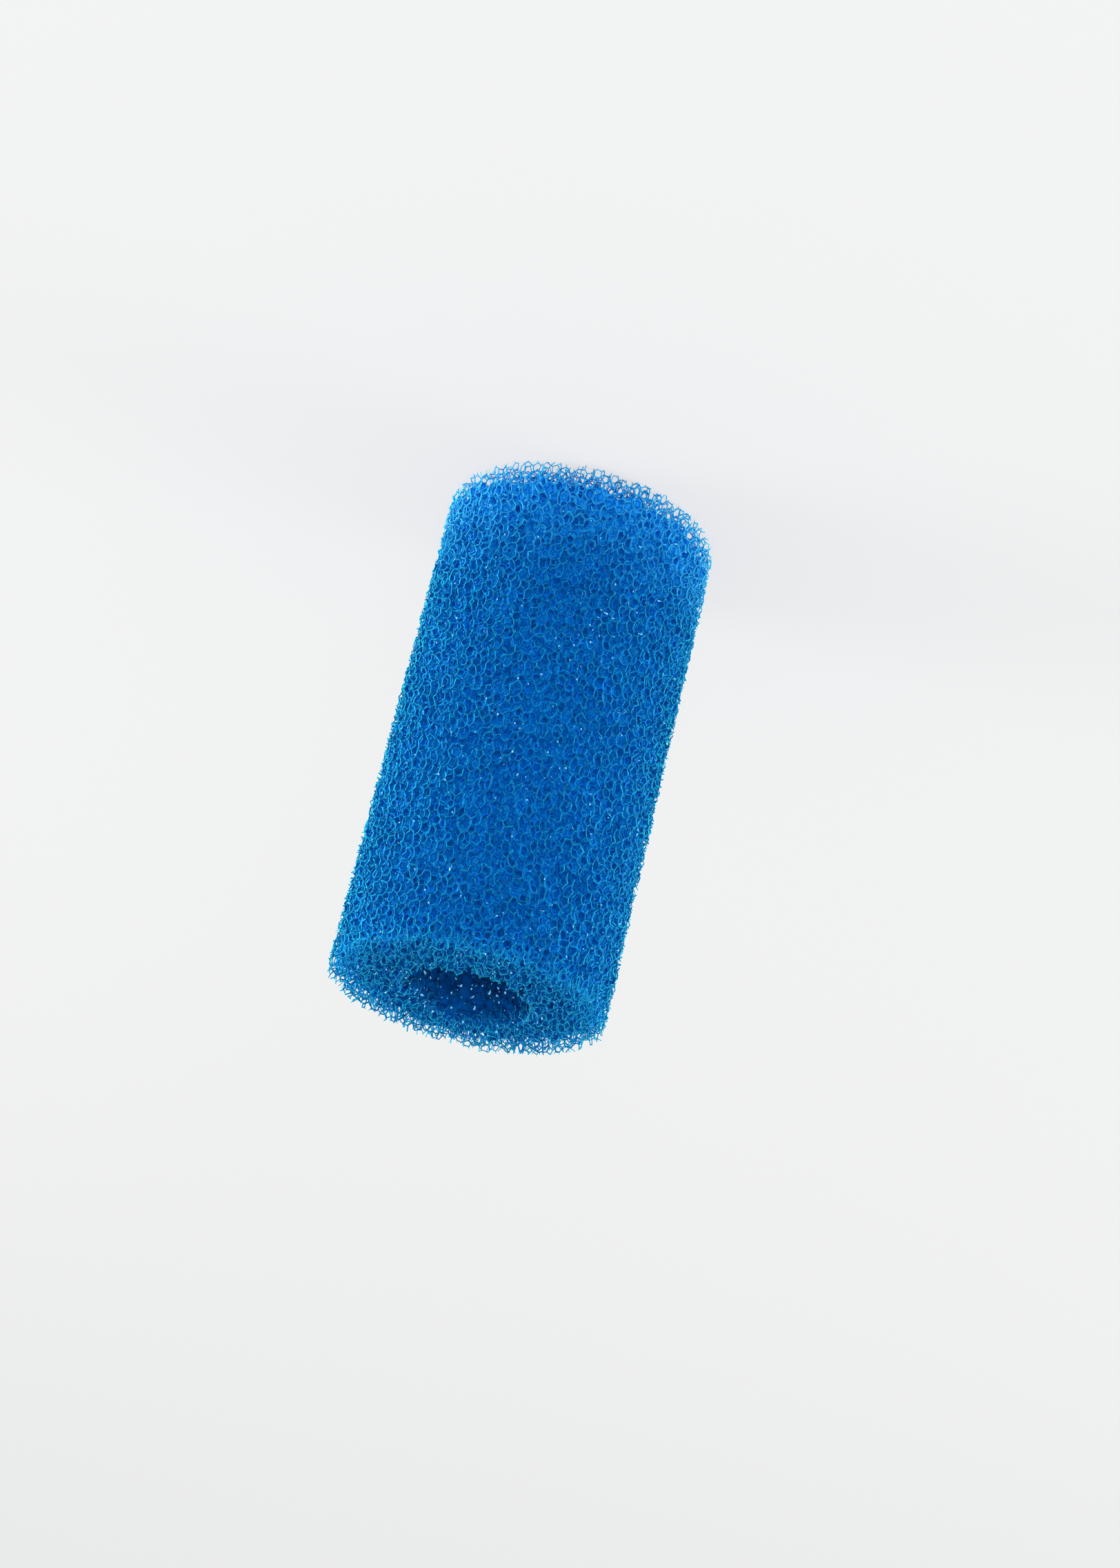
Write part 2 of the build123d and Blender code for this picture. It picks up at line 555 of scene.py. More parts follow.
# %% [markdown]
# ## Two layers, in bands
# The outermost struts stand in the fullest light, so their blue is painted darker than that of
# those below, as painted shade, and their gloss is lower. The two layers get pieces and finishes of
# their own. Each layer is split into bands along the sponge too, because a mesh of nearly a million
# triangles would be heavy to handle. A joint at the border of two pieces is closed in both, so that
# each is a closed body.

# %% Split the crust into layers and bands
FACE_LAYER = 0.9e-3  # how deep below a cut face the middle of an outermost strut lies at most
FACE_BANDS = 2
DEEP_BANDS = 4

strut_middles = key_places(joint_keys(crust, 0))[0] + strut_spans[crust[:, 3]] / 2
at_face = cut_depth(strut_middles) < FACE_LAYER


def strut_bands(title, chosen, count):
    """The chosen struts as closed meshes, one for each band of the sponge's length."""
    by_height = chosen[np.argsort(strut_middles[chosen, 2], kind="stable")]
    pieces = []
    for number, rows in enumerate(np.array_split(by_height, count)):
        name = f"{title}_{number + 1}"
        pieces.append(network_mesh(name, crust[rows], crust_depths[rows], tear_depths[rows]))
    return pieces


face_bands = strut_bands("foam_face", np.flatnonzero(at_face), FACE_BANDS)
deep_bands = strut_bands("foam_deep", np.flatnonzero(~at_face), DEEP_BANDS)

# %% [markdown]
# ## The walls that stayed
# Below the worn faces most windows still have their thin wall. The walls close the view into the
# depth, and between the struts they give the foam its soft, even blue. Some were never there, and
# each of the others bursts where the foam is less sound than that wall's own limit. So none is
# left right at a face, more and more stay below it, and the open windows among them show as dark
# pores. A wall belongs to two bubbles, and its corners are all the joints that those two share,
# taken in order round the line between them. Each is built as a very flat lens, so that it is a
# closed body.

# %% Find the walls of one block
WALL_SHARE = 0.8  # how many of the windows had a wall at all
WALL_SEED = 5
WALL_BULGE = 0.02e-3  # how far the middle of a wall stands out to each side
PAIR = 5  # how many numbers tell a wall: its two bubbles' own, and the three steps between them


def wall_corners():
    """Each wall's bubbles, and rows of wall, joint and the copy of its block, for all corners."""
    rows = []
    joint = np.arange(len(joints))[:, None]
    for a, b in ((0, 1), (0, 2), (0, 3), (1, 2), (1, 3), (2, 3)):
        one, other = joint_bubbles[:, a], joint_bubbles[:, b]
        swap = (one[:, 0] > other[:, 0])[:, None]
        one, other = np.where(swap, other, one), np.where(swap, one, other)
        between = other[:, 1:] - one[:, 1:]
        rows.append(np.concatenate([one[:, :1], other[:, :1], between, joint, -one[:, 1:]], 1))
    rows = np.concatenate(rows)
    walls, number = np.unique(rows[:, :PAIR], axis=0, return_inverse=True)
    return walls, np.concatenate([number.reshape(-1, 1), rows[:, PAIR:]], 1)


def lens(corners, way):
    """Points and triangles of a flat lens over the corners. The way leads across it."""
    middle = corners.mean(0)
    way = way / np.linalg.norm(way)
    flat = np.cross(way, corners[0] - middle)
    angle = np.arctan2((corners - middle) @ flat, (corners - middle) @ np.cross(flat, way))
    ring = corners[np.argsort(angle)]
    count = len(ring)
    here = np.arange(count)
    after = (here + 1) % count
    above = np.stack([here, after, np.full(count, count)], 1)
    below = np.stack([after, here, np.full(count, count + 1)], 1)
    points = np.concatenate([ring, [middle + way * WALL_BULGE, middle - way * WALL_BULGE]])
    return points, np.concatenate([above, below])


def made_walls():
    """The lenses of one block's walls, each as points and triangles."""
    walls, rows = wall_corners()
    rows = rows[np.argsort(rows[:, 0], kind="stable")]
    starts = np.searchsorted(rows[:, 0], np.arange(len(walls) + 1))
    made = np.flatnonzero(np.random.default_rng(WALL_SEED).random(len(walls)) < WALL_SHARE)
    lenses = []
    for wall in made:
        corner = rows[starts[wall]:starts[wall + 1]]
        places = joint_places[corner[:, 1]] + corner[:, 2:] @ copy_steps
        one, other, step = walls[wall, 0], walls[wall, 1], walls[wall, 2:]
        way = (bubbles[other] - bubbles[one]) @ to_metres.T + step @ copy_steps
        lenses.append(lens(places, way))
    print(len(lenses), "of", len(walls), "windows in one block have a wall")
    return lenses


wall_lenses = made_walls()

# %% Copy the walls over the crust
LIMITS = (0.55, 0.95)  # the soundness below which the weakest and the firmest wall is gone
LIMIT_SEED = 5
WALL_BANDS = 2


def walls_mesh(name, low, high):
    """One mesh of the crust's walls with their middles between two heights, all of them inside."""
    sizes = np.array([len(points) for points, _ in wall_lenses])
    starts = np.cumsum(sizes) - sizes
    points = np.concatenate([points for points, _ in wall_lenses])
    triangles = np.concatenate([faces + start for (_, faces), start in zip(wall_lenses, starts)])
    triangle_wall = np.repeat(np.arange(len(sizes)), [len(faces) for _, faces in wall_lenses])
    limits = np.random.default_rng(LIMIT_SEED).uniform(*LIMITS, len(sizes))
    all_points, all_triangles, total = [], [], 0
    for copy in copies_needed():
        moved = points + copy @ copy_steps
        inside = np.minimum.reduceat(cut_depth(moved), starts) > 0
        middle = moved[starts + sizes - 1]
        kept = inside & in_crust(middle) & (soundness(middle) > limits)
        kept &= (middle[:, 2] > low) & (middle[:, 2] <= high)
        kept_points = np.repeat(kept, sizes)
        renumber = np.cumsum(kept_points) - 1 + total
        all_points.append(moved[kept_points])
        all_triangles.append(renumber[triangles[kept[triangle_wall]]])
        total += int(kept_points.sum())
    no_quads = np.zeros((0, 4), int)
    return make_mesh(name, np.concatenate(all_points), no_quads, np.concatenate(all_triangles))


wall_bands = []
for number in range(WALL_BANDS):
    low, high = LENGTH * number / WALL_BANDS, LENGTH * (number + 1) / WALL_BANDS
    wall_bands.append(walls_mesh(f"foam_walls_{number + 1}", low, high))

# %% [markdown]
# ## The core
# Behind the crust there is only more foam, which nobody can tell from a plain body of the same
# blue. Four corners are enough for its section, and turning them once round the hole's axis makes
# a ring. The core keeps clear of all the sponge's faces, so it shows only through windows.

# %% Turn the core
CORE_STEPS = 96


def core_profile():
    """The section of the core as points of radius and height, once round."""
    inner = HOLE_RADIUS + HOLE_CRUST
    outer = OUTER_RADIUS - SIDE_CRUST
    half = [(radius, END_CRUST + END_SLOPE * (radius - HOLE_RADIUS)) for radius in (outer, inner)]
    return half + [(radius, LENGTH - height) for radius, height in reversed(half)]


def lathe(name, profile, steps):
    """A closed ring-shaped mesh: the profile turned once round the Z axis."""
    angle = 2 * math.pi * np.arange(steps) / steps
    profile = np.array(profile)
    points = np.stack([
        np.cos(angle)[:, None] * profile[:, 0],
        np.sin(angle)[:, None] * profile[:, 0],
        np.ones(steps)[:, None] * profile[:, 1],
    ], -1).reshape(-1, 3)
    count = len(profile)
    turn_index, point = np.meshgrid(np.arange(steps), np.arange(count), indexing="ij")
    here = turn_index * count + point
    beside = (turn_index + 1) % steps * count + point
    above = turn_index * count + (point + 1) % count
    beyond = (turn_index + 1) % steps * count + (point + 1) % count
    quads = np.stack([here, above, beyond, beside], -1).reshape(-1, 4)
    return make_mesh(name, points, quads, np.zeros((0, 3), int))


core = lathe("foam_core", core_profile(), CORE_STEPS)

# %% [markdown]
# ## A flat map for the pattern
# Other programs show the pattern of the dye and the painted light as an image that is wrapped
# round each piece, so each piece gets a map from its surface to that image. One side of the image
# runs round the sponge. The other runs down the round side to the nearer end, over the end to the
# hole, and back up inside the hole. Struts that lie behind each other below the same face share a
# place on it, which does no harm, because their colours are nearly the same. So do front and back:
# the pattern is mirrored there, and the map has no seam.

# %% Lay out the map of each piece


def lay_out(piece):
    """Give the piece a map of the way round from +X to -X and the way along its faces."""
    mesh = piece.data
    points = np.empty(len(mesh.vertices) * 3, np.float32)
    mesh.vertices.foreach_get("co", points)
    x, y, z = points.reshape(-1, 3).T
    round_way = np.abs(np.arctan2(y, x)) / math.pi
    from_end = z if z.mean() < LENGTH / 2 else LENGTH - z
    from_side = OUTER_RADIUS - np.hypot(x, y)
    ring_width = OUTER_RADIUS - HOLE_RADIUS
    nearest = np.argmin([from_side, from_end, ring_width - from_side], axis=0)
    long_way = np.choose(nearest, [from_end, -from_side, -ring_width - from_end])
    long_way = (long_way - long_way.min()) / np.ptp(long_way)
    corner_points = np.empty(len(mesh.loops), np.int32)
    mesh.loops.foreach_get("vertex_index", corner_points)
    layer = mesh.uv_layers.new(name="OFBake")
    layer.uv.foreach_set("vector", np.stack([round_way, long_way], 1)[corner_points].ravel())


mapped = [*face_bands, *deep_bands, *wall_bands]
for piece in mapped:
    lay_out(piece)
print(len(mapped), "pieces have a map")

# %% [markdown]
# ## Nodes, added and linked
# A material is a tree of nodes, and each node has to be added, set and linked. A few short helpers
# do that for the kinds that come up again and again. What goes into a socket may be the output of
# another node or a plain value, so one helper tells the two apart.

# %% Write the helpers that add nodes


def feed(tree, socket, value):
    """Link an output to a socket, or set the socket to a plain value."""
    if isinstance(value, bpy.types.NodeSocket):
        tree.links.new(value, socket)
    else:
        socket.default_value = value


def add_math(tree, operation, *values):
    """A number worked out from one or two others."""
    node = tree.nodes.new("ShaderNodeMath")
    node.operation = operation
    for socket, value in zip(node.inputs, values):
        feed(tree, socket, value)
    return node.outputs[0]


def add_mix(tree, factor, first, last, kind="RGBA"):
    """A colour or number that is the first where factor is 0 and the last where it is 1."""
    node = tree.nodes.new("ShaderNodeMix")
    node.data_type = kind
    for name, value in (("Factor", factor), ("A", first), ("B", last)):
        feed(tree, node.inputs[name], value)
    return node.outputs["Result"]


def add_range(tree, value, start, end=(0, 1), smooth=False):
    """A value carried over from one range to another, and held beyond the ends of both."""
    node = tree.nodes.new("ShaderNodeMapRange")
    node.interpolation_type = "SMOOTHSTEP" if smooth else "LINEAR"
    for name, number in zip(("From Min", "From Max", "To Min", "To Max"), (*start, *end)):
        node.inputs[name].default_value = number
    tree.links.new(value, node.inputs["Value"])
    return node.outputs["Result"]


def add_noise(tree, position, size, detail):
    """A noise whose patches are about as large as size, in metres."""
    node = tree.nodes.new("ShaderNodeTexNoise")
    node.inputs["Scale"].default_value = 1 / size
    node.inputs["Detail"].default_value = detail
    tree.links.new(position, node.inputs["Vector"])
    return node.outputs["Fac"]


# %% [markdown]
# ## Where the blue is painted paler, and where light soaks in
# Toward the lower end the blue is painted paler, as painted light standing for light that comes
# through that end. The room's light soaks in from the round side and through both ends, and less
# than a third of it gets as far as the hole. Both depend only on where a point lies in the sponge,
# so they are masks that are worked out from its place.

# %% Build the masks from a point's place
LIT_END_HEIGHT = 24.0e-3  # how far up from the lower end the blue is painted paler, as painted light
SOAK_END = 5.0e-3  # at this radius no light would soak in from the side any more
SOAK_DEEP = 4.0e-3  # and this far below an end none soaks in through the end


def mirrored_position(tree):
    """A point's place, with the back's places the same as the front's, and its height."""
    place = tree.nodes.new("ShaderNodeTexCoord")
    split = tree.nodes.new("ShaderNodeSeparateXYZ")
    join = tree.nodes.new("ShaderNodeCombineXYZ")
    tree.links.new(place.outputs["Object"], split.inputs[0])
    x, y, z = split.outputs
    for socket, value in zip(join.inputs, (x, add_math(tree, "ABSOLUTE", y), z)):
        tree.links.new(value, socket)
    return join.outputs[0], z


def add_lit_end_fade(tree, height):
    """1 at the sponge's lower end, down to 0 at the height where the painted paler end stops, and
    fastest at first.
    """
    return add_math(tree, "POWER", add_range(tree, height, (LIT_END_HEIGHT, 0)), 2)


def add_end_soak(tree, height):
    """1 at either end, down to 0 at the depth that light no longer reaches from there."""
    from_middle = add_math(tree, "ABSOLUTE", add_math(tree, "SUBTRACT", height, LENGTH / 2))
    return add_range(tree, from_middle, (LENGTH / 2 - SOAK_DEEP, LENGTH / 2))


def add_side_soak(tree, position):
    """1 at the outer side, where light soaks in from the room, less and less toward the hole."""
    flat = tree.nodes.new("ShaderNodeVectorMath")
    flat.operation = "MULTIPLY"
    flat.inputs[1].default_value = (1, 1, 0)
    tree.links.new(position, flat.inputs[0])
    radius = tree.nodes.new("ShaderNodeVectorMath")
    radius.operation = "LENGTH"
    tree.links.new(flat.outputs["Vector"], radius.inputs[0])
    return add_range(tree, radius.outputs["Value"], (SOAK_END, OUTER_RADIUS))


soak_at_hole = (HOLE_RADIUS - SOAK_END) / (OUTER_RADIUS - SOAK_END)
print(f"{soak_at_hole:.2f} of the light that soaks in from the side gets as far as the hole")

# %% [markdown]
# ## The dye, and the painted light
# The foam is dyed right through, but it never comes out even: where the struts are a little
# thicker or the dye drew in deeper, the blue is fuller, and elsewhere it is paler and greener.
# Pale painted glints stand for light that comes through gaps from behind, more often toward the
# hole, and the lower end is painted paler, as painted light. Struts, walls and core all share this,
# so it is one node group with its own values in each material. It mixes a coarse and a fine noise,
# and puts out a colour, a roughness, a mask of the painted glints, and how much of the room's light
# soaks in as far as the shaded point.

# %% Build the dye as a node group
DYE_PATCH = 4.0e-3  # how large the patches of fuller and paler blue are
DYE_GRAIN = 0.9e-3  # how large the fine specks of the dye are
PATCH_EDGES = (0.35, 0.65)  # between these values of the coarse noise, full blue turns pale
GRAIN_EDGES = (0.3, 0.7)  # and between these of the fine noise
GRAIN_SHARE = 0.5  # how much of the unevenness comes from the fine noise
GLINT_SIZE = 0.6e-3  # how far apart the painted glints can be
GLINT_EDGES = (0.825, 0.85)  # between these values of its noise, a painted glint comes out
GLINT_EXTRA = 0.095  # makes painted glints commoner toward the hole
DYE_AND_LIGHT_INPUTS = {"Full Blue": "NodeSocketColor", "Pale Blue": "NodeSocketColor",
              "Lit End Blue": "NodeSocketColor", "Smoothest": "NodeSocketFloat",
              "Roughest": "NodeSocketFloat", "Glint Colour": "NodeSocketColor",
              "Glint Strength": "NodeSocketFloat"}
DYE_AND_LIGHT_OUTPUTS = {"Colour": "NodeSocketColor", "Roughness": "NodeSocketFloat",
               "Glint": "NodeSocketFloat", "Soak": "NodeSocketFloat"}


def build_dye_and_light():
    """The node group of the uneven dye, with its painted glints and its paler painted lower end."""
    group = bpy.data.node_groups.new("uneven_dye_and_light", "ShaderNodeTree")
    for side, sockets in (("INPUT", DYE_AND_LIGHT_INPUTS), ("OUTPUT", DYE_AND_LIGHT_OUTPUTS)):
        for name, kind in sockets.items():
            group.interface.new_socket(name, in_out=side, socket_type=kind)
    given = group.nodes.new("NodeGroupInput").outputs
    result = group.nodes.new("NodeGroupOutput").inputs
    position, height = mirrored_position(group)

    patches = add_noise(group, position, DYE_PATCH, detail=1)
    grain = add_noise(group, position, DYE_GRAIN, detail=2)
    patch_mask = add_range(group, patches, PATCH_EDGES, smooth=True)
    grain_mask = add_range(group, grain, GRAIN_EDGES, smooth=True)
    paleness = add_mix(group, GRAIN_SHARE, patch_mask, grain_mask, "FLOAT")
    colour = add_mix(group, paleness, given["Full Blue"], given["Pale Blue"])
    # Painted light: the lower end is painted paler.
    colour = add_mix(group, add_lit_end_fade(group, height), colour, given["Lit End Blue"])

    side_soak = add_side_soak(group, position)
    # Painted glints, from a sparse noise, commoner toward the hole.
    extra = add_range(group, side_soak, (0, 1), (GLINT_EXTRA, 0))
    spots = add_math(group, "ADD", add_noise(group, position, GLINT_SIZE, detail=0), extra)
    spot_mask = add_range(group, spots, GLINT_EDGES, smooth=True)
    glint = add_math(group, "MULTIPLY", spot_mask, given["Glint Strength"])

    made = {
        # The painted glints lighten the colour.
        "Colour": add_mix(group, glint, colour, given["Glint Colour"]),
        "Roughness": add_mix(group, grain, given["Smoothest"], given["Roughest"], "FLOAT"),
        "Glint": glint,
        "Soak": add_math(group, "MAXIMUM", side_soak, add_end_soak(group, height)),
    }
    for name, value in made.items():
        group.links.new(value, result[name])
    print("the dye group has", len(group.nodes), "nodes")
    return group


dye_and_light = build_dye_and_light()

# %% [markdown]
# ## The four finishes
# Each finish places the group of the dye and the painted light, and feeds it to the same kind of
# shader. The struts' plastic lets some light through, which keeps the shaded side of a thin strut
# from going black, so the shader has a short subsurface reach. Its gloss is low and takes the tint
# of the dye. Light that has passed through many cells can't be followed at a fair cost, so the deep
# struts, the walls and the core give back a little of it as a faint painted glow, in which the
# painted glints stand out. The outermost struts stand in full light and need no such glow.

# %% Build the shader that all finishes share
LIGHT_REACH = 0.7e-3  # how far light goes through a strut's plastic
# The pale colour of the painted glints, which also glow.
GLINT_COLOUR = (0.25, 0.65, 0.95, 1)
# The paler blue painted on the lower end, as painted light.
LIT_END_BLUE = (0.01, 0.30, 0.80, 1)
SHEEN_TINT = (0.05, 0.7, 1.0, 1)
GLOW = 0.8  # how strongly the painted glints and the soaked-in light glow
DARK = (0, 0, 0, 1)
SOAKED = (0.0, 0.0315, 0.1375, 1)  # the light that soaks through the foam into its hollows


def dyed_and_lit_material(name, full, pale, roughness, gloss, glints, soaked=SOAKED, reach=LIGHT_REACH):
    """A material with the dye and the painted light on its colour, roughness and glow, and its
    shader and group nodes.
    """
    material = bpy.data.materials.new(name)
    material.use_nodes = True
    tree = material.node_tree
    shader = tree.nodes["Principled BSDF"]
    placed = tree.nodes.new("ShaderNodeGroup")
    placed.node_tree = dye_and_light
    own_values = {
        "Full Blue": (*full, 1),
        "Pale Blue": (*pale, 1),
        "Lit End Blue": LIT_END_BLUE,
        "Smoothest": roughness[0],
        "Roughest": roughness[1],
        "Glint Colour": GLINT_COLOUR,
        "Glint Strength": glints,
    }
    for socket, value in own_values.items():
        placed.inputs[socket].default_value = value
    soaked_light = add_mix(tree, placed.outputs["Soak"], DARK, soaked)
    shader_values = {
        "Base Color": placed.outputs["Colour"],
        "Roughness": placed.outputs["Roughness"],
        # Painted light: the soaked-in light and the painted glints glow.
        "Emission Color": add_mix(tree, placed.outputs["Glint"], soaked_light, GLINT_COLOUR),
        "Emission Strength": GLOW,
        "Specular IOR Level": gloss,
        "Specular Tint": SHEEN_TINT,
        "Subsurface Weight": 1,
        "Subsurface Radius": (1, 1, 1),
        "Subsurface Scale": reach,
    }
    for socket, value in shader_values.items():
        feed(tree, shader.inputs[socket], value)
    print(name, "is rough from", roughness[0], "to", roughness[1])
    return material, shader, placed


# %% [markdown]
# ## Struts and walls
# The struts at the faces stand in the fullest light, so their blue is painted darker, as painted
# shade, and their gloss is lowest. Those below keep the blue they were made with, and get the
# soaked-in glow, which is painted light. A wall is a skin far thinner than a strut: it is smoother,
# and light goes hardly any way along it.

# %% Build the materials of the struts and the walls
WALL_REACH = 0.05e-3  # how far light goes along a wall

# Painted shade: the outermost struts' blue is darker, because they stand in the fullest light.
face_finish, _, _ = dyed_and_lit_material(
    "shaded_face_blue", full=(0.001, 0.065, 0.26), pale=(0.002, 0.085, 0.32),
    roughness=(0.5, 0.75), gloss=0.05, glints=0.7, soaked=DARK,
)
deep_finish, _, _ = dyed_and_lit_material(
    "full_blue", full=(0.001, 0.10, 0.44), pale=(0.001, 0.125, 0.50),
    roughness=(0.35, 0.6), gloss=0.15, glints=0.7,
)
wall_finish, _, _ = dyed_and_lit_material(
    "thin_blue", full=(0.001, 0.10, 0.33), pale=(0.002, 0.125, 0.38),
    roughness=(0.12, 0.3), gloss=0.15, glints=0.7, reach=WALL_REACH,
)

# %% [markdown]
# ## The core's finish
# The core has to read as more foam and not as a solid. A cell pattern paints shade into its
# hollows, and the same pattern goes into its bump, so that light falls on it as on rounded cells.

# %% Build the material of the core
PATTERN_CELL = 1.5e-3
PATTERN_DEPTH = 0.5e-3
HOLLOW_EDGES = (0.05, 0.35)  # a hollow deepens between these distances from its edge, in cells
# The painted shade in the core's hollows.
HOLLOW_SHADE_BLUE = (0.0, 0.075, 0.36, 1)


def core_material():
    """The dyed core, with painted shade in a cell pattern of hollows that also goes into its bump.
    """
    material, shader, placed = dyed_and_lit_material(
        "blue_core", full=(0.001, 0.105, 0.42), pale=(0.001, 0.125, 0.47),
        roughness=(0.7, 0.9), gloss=0.05, glints=1.0,
    )
    tree = material.node_tree
    place = tree.nodes.new("ShaderNodeTexCoord")
    cells = tree.nodes.new("ShaderNodeTexVoronoi")
    cells.feature = "DISTANCE_TO_EDGE"
    cells.inputs["Scale"].default_value = 1 / PATTERN_CELL
    tree.links.new(place.outputs["Object"], cells.inputs["Vector"])
    hollow_depth_and_shade = add_range(tree, cells.outputs["Distance"], HOLLOW_EDGES, smooth=True)
    # Painted shade in the hollows of the cell pattern.
    colour = add_mix(tree, hollow_depth_and_shade, placed.outputs["Colour"], HOLLOW_SHADE_BLUE)
    tree.links.new(colour, shader.inputs["Base Color"])
    bump = tree.nodes.new("ShaderNodeBump")
    bump.invert = True
    bump.inputs["Distance"].default_value = PATTERN_DEPTH
    tree.links.new(hollow_depth_and_shade, bump.inputs["Height"])
    tree.links.new(bump.outputs["Normal"], shader.inputs["Normal"])
    return material


core_finish = core_material()

# %% Give each piece its finish
finishes = [(face_bands, face_finish), (deep_bands, deep_finish), (wall_bands, wall_finish),
            ([core], core_finish)]
for pieces, finish in finishes:
    for piece in pieces:
        piece.data.materials.append(finish)
    print(finish.name, "is on", len(pieces), "pieces" if len(pieces) > 1 else "piece")

# %% [markdown]
# ## Tie the pieces to the imported model
# The sponge has one body, so every piece rides on it. Together they stand in for the plain solid of
# the imported model, which is hidden.

for piece in [*mapped, core]:
    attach(piece, "root")
    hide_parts("sponge")
print(len(mapped) + 1, "pieces stand for the packed model's one solid")

# %% [markdown]
# ## The floor and the room
# The sponge stands on a wide pale floor in a pale room, so that nothing competes with its blue.
# The floor is an ordinary matt surface, which takes the soft shadow. A share of its own pale
# colour is mixed in for the rays that are seen, so it looks evenly light without throwing any more
# light on the foam. The room does the same: what the camera, a reflection or a clear surface sees
# is pale, and what lights the sponge is plainer. That light is a little weaker overhead than at
# the horizon, because the end faces would otherwise come out paler than the round side.

# %% Build the floor
FLOOR_SPAN = 8.0
FLOOR_WHITE = (0.8, 0.8, 0.8, 1)  # the matt surface that takes the shadow
FLOOR_ROUGHNESS = 0.9
PALE = (0.88, 0.885, 0.89)
PALE_SHARE = 0.75  # how much of the floor's look is its own pale colour
scene = bpy.context.scene


def seen_rays(tree):
    """1 for rays of the camera, of reflections and through clear surfaces, and otherwise 0."""
    path = tree.nodes.new("ShaderNodeLightPath")
    seen = path.outputs["Is Camera Ray"]
    for name in ("Is Glossy Ray", "Is Transmission Ray"):
        seen = add_math(tree, "MAXIMUM", seen, path.outputs[name])
    return seen


def floor_material():
    """A matt pale floor that looks evenly light and keeps shadows."""
    material = bpy.data.materials.new("pale_floor")
    material.use_nodes = True
    tree = material.node_tree
    shader = tree.nodes["Principled BSDF"]
    shader.inputs["Base Color"].default_value = FLOOR_WHITE
    shader.inputs["Roughness"].default_value = FLOOR_ROUGHNESS
    glow = tree.nodes.new("ShaderNodeEmission")
    glow.inputs["Color"].default_value = (*PALE, 1)
    mix = tree.nodes.new("ShaderNodeMixShader")
    tree.links.new(add_math(tree, "MULTIPLY", seen_rays(tree), PALE_SHARE), mix.inputs["Fac"])
    tree.links.new(shader.outputs[0], mix.inputs[1])
    tree.links.new(glow.outputs[0], mix.inputs[2])
    tree.links.new(mix.outputs[0], tree.nodes["Material Output"].inputs["Surface"])
    return material


half = FLOOR_SPAN / 2
floor_corners = np.array([(-half, -half, 0), (half, -half, 0), (half, half, 0), (-half, half, 0)])
floor = make_mesh("floor", floor_corners, np.array([[0, 1, 2, 3]]), np.zeros((0, 3), int))
floor.data.materials.append(floor_material())

print("the floor is pale at", PALE)

# %% Build the room
ROOM_LIGHT = 0.84  # at the horizon
CEILING_LIGHT = 0.65  # straight overhead


def room_world():
    """A pale room whose light falls off overhead."""
    world = bpy.data.worlds.new("pale_room")
    world.use_nodes = True
    tree = world.node_tree
    room = tree.nodes["Background"]
    room.inputs["Color"].default_value = (1, 1, 1, 1)
    way = tree.nodes.new("ShaderNodeTexCoord")
    split = tree.nodes.new("ShaderNodeSeparateXYZ")
    tree.links.new(way.outputs["Generated"], split.inputs[0])
    falloff = add_range(tree, split.outputs["Z"], (0, 1), (ROOM_LIGHT, CEILING_LIGHT))
    strength = add_mix(tree, seen_rays(tree), falloff, PALE[1], "FLOAT")
    tree.links.new(strength, room.inputs["Strength"])
    return world


scene.world = room_world()
print("the room's light goes from", ROOM_LIGHT, "at the horizon to", CEILING_LIGHT, "overhead")

# %% [markdown]
# ## The lamps
# Open foam looks best with light from the sides, and a little from behind, which gets into the
# crust and makes the edges glow, while the cells that face the camera keep a little shade. Two
# wide soft lamps do that, and a smaller one in front fills in. Left and right are the sponge's
# own: the camera is upside down, so that each of them lights the other side of its view.

# %% Place the lamps
LAMP_DISTANCE = 0.8


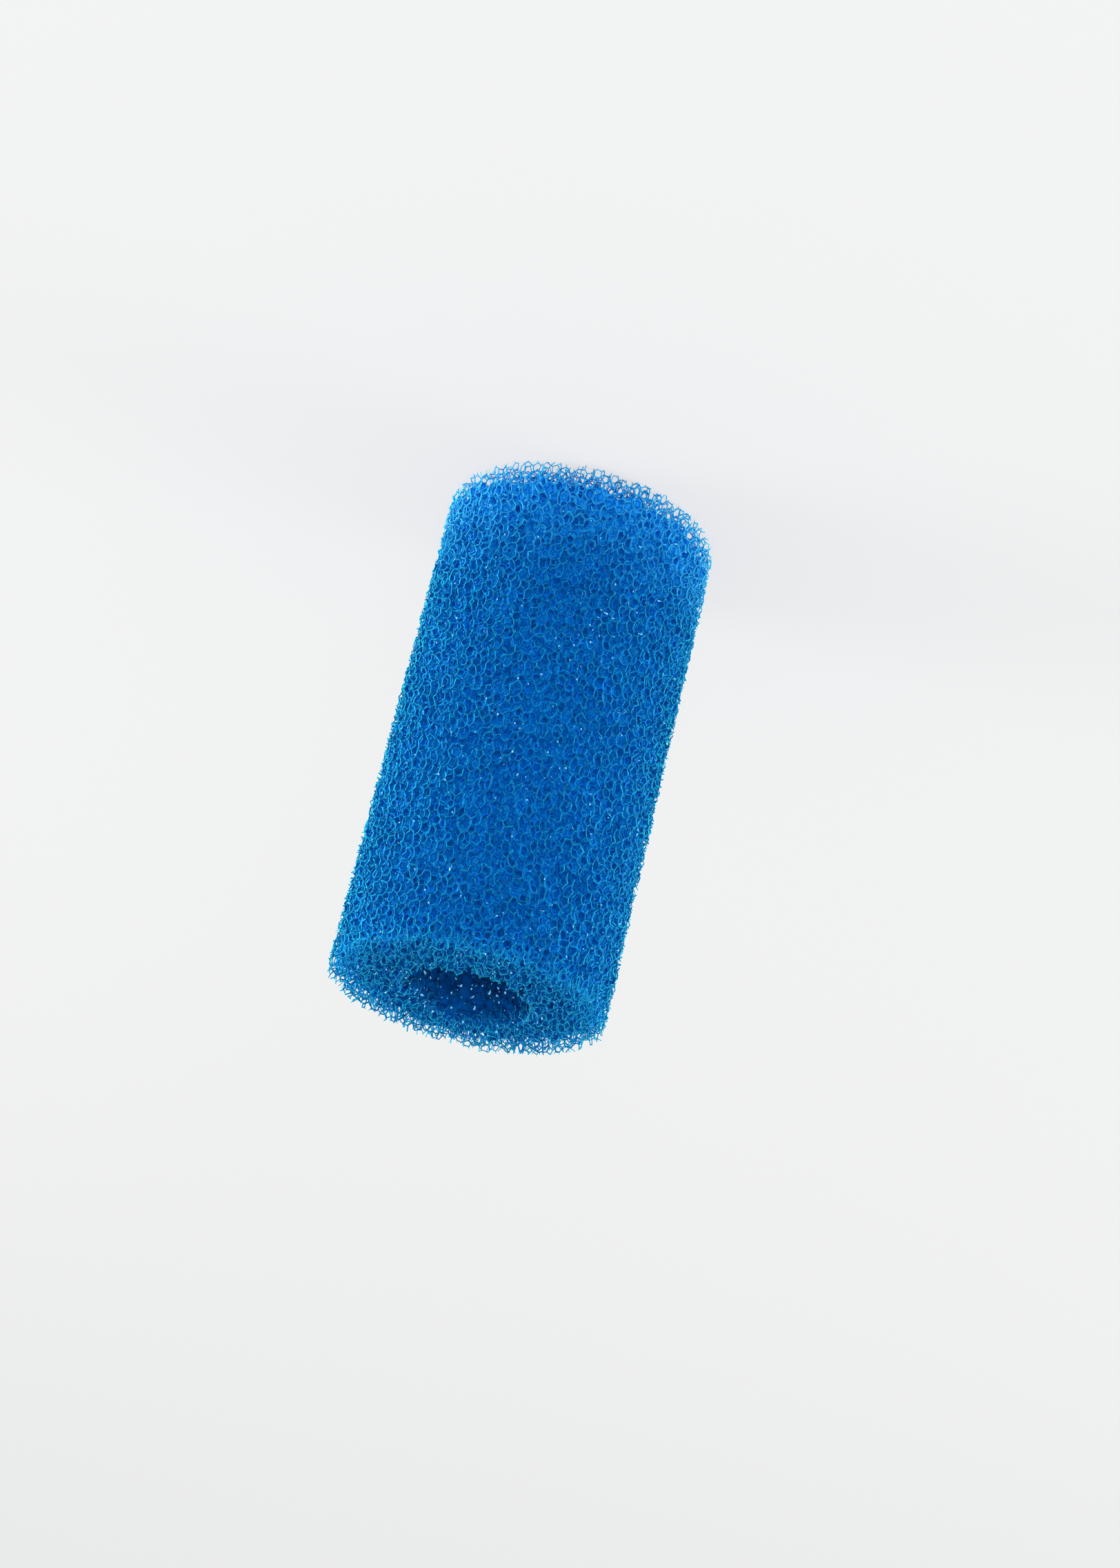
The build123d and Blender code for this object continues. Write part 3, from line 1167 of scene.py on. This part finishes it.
def lamp(name, azimuth, elevation, size, watts):
    """A round soft lamp that looks at the sponge. Azimuth 0 is in front, and 90 on the right."""
    data = bpy.data.lights.new(name, "AREA")
    data.shape = "DISK"
    data.size = size
    data.energy = watts
    piece = bpy.data.objects.new(name, data)
    scene.collection.objects.link(piece)
    around, up = math.radians(azimuth), math.radians(elevation)
    way = Vector((math.sin(around) * math.cos(up), -math.cos(around) * math.cos(up), math.sin(up)))
    piece.location = Vector((0, 0, LENGTH / 2)) + way * LAMP_DISTANCE
    piece.rotation_mode = "QUATERNION"
    piece.rotation_quaternion = (-way).to_track_quat("-Z", "Y")
    print(f"{name}: {watts} W, {size} m wide")


lamp("left_lamp", azimuth=-100, elevation=8, size=0.5, watts=4.4)
lamp("right_lamp", azimuth=100, elevation=8, size=0.5, watts=6.8)
lamp("front_lamp", azimuth=-4, elevation=10, size=0.3, watts=3.3)

# %% [markdown]
# ## The camera
# The camera looks down on the standing sponge from a little above, and is rolled past upside down,
# so that the sponge hangs down across the view with its top end nearest. It aims a few millimetres
# off the middle of the sponge, which places the sponge in the frame.

# %% Place the camera
CAMERA_TILT = math.radians(24.45)
CAMERA_ROLL = math.radians(180 + 13.64)
CAMERA_DISTANCE = 0.55747
CAMERA_LENS = 79.05  # millimetres, as is the sensor's width
SENSOR_WIDTH = 36
AIM_RIGHT = 5.55e-3  # how far the camera stands right of the sponge's middle, across its view
AIM_UP = -4.113e-3  # and how far up

camera_data = bpy.data.cameras.new("camera")
camera_data.lens = CAMERA_LENS
camera_data.sensor_width = SENSOR_WIDTH
camera = bpy.data.objects.new("camera", camera_data)
scene.collection.objects.link(camera)
scene.camera = camera
forward = Vector((0, math.cos(CAMERA_TILT), -math.sin(CAMERA_TILT)))
level_right = Vector((1, 0, 0))
level_up = level_right.cross(forward)
right = level_right * math.cos(CAMERA_ROLL) + level_up * math.sin(CAMERA_ROLL)
up = level_up * math.cos(CAMERA_ROLL) - level_right * math.sin(CAMERA_ROLL)
camera.location = Vector((0, 0, LENGTH / 2)) - forward * CAMERA_DISTANCE
camera.location += right * AIM_RIGHT + up * AIM_UP
camera.rotation_mode = "QUATERNION"
camera.rotation_quaternion = Matrix((right, up, -forward)).transposed().to_quaternion()
scene.view_settings.view_transform = "Standard"
print("the camera stands at", tuple(round(value, 4) for value in camera.location))
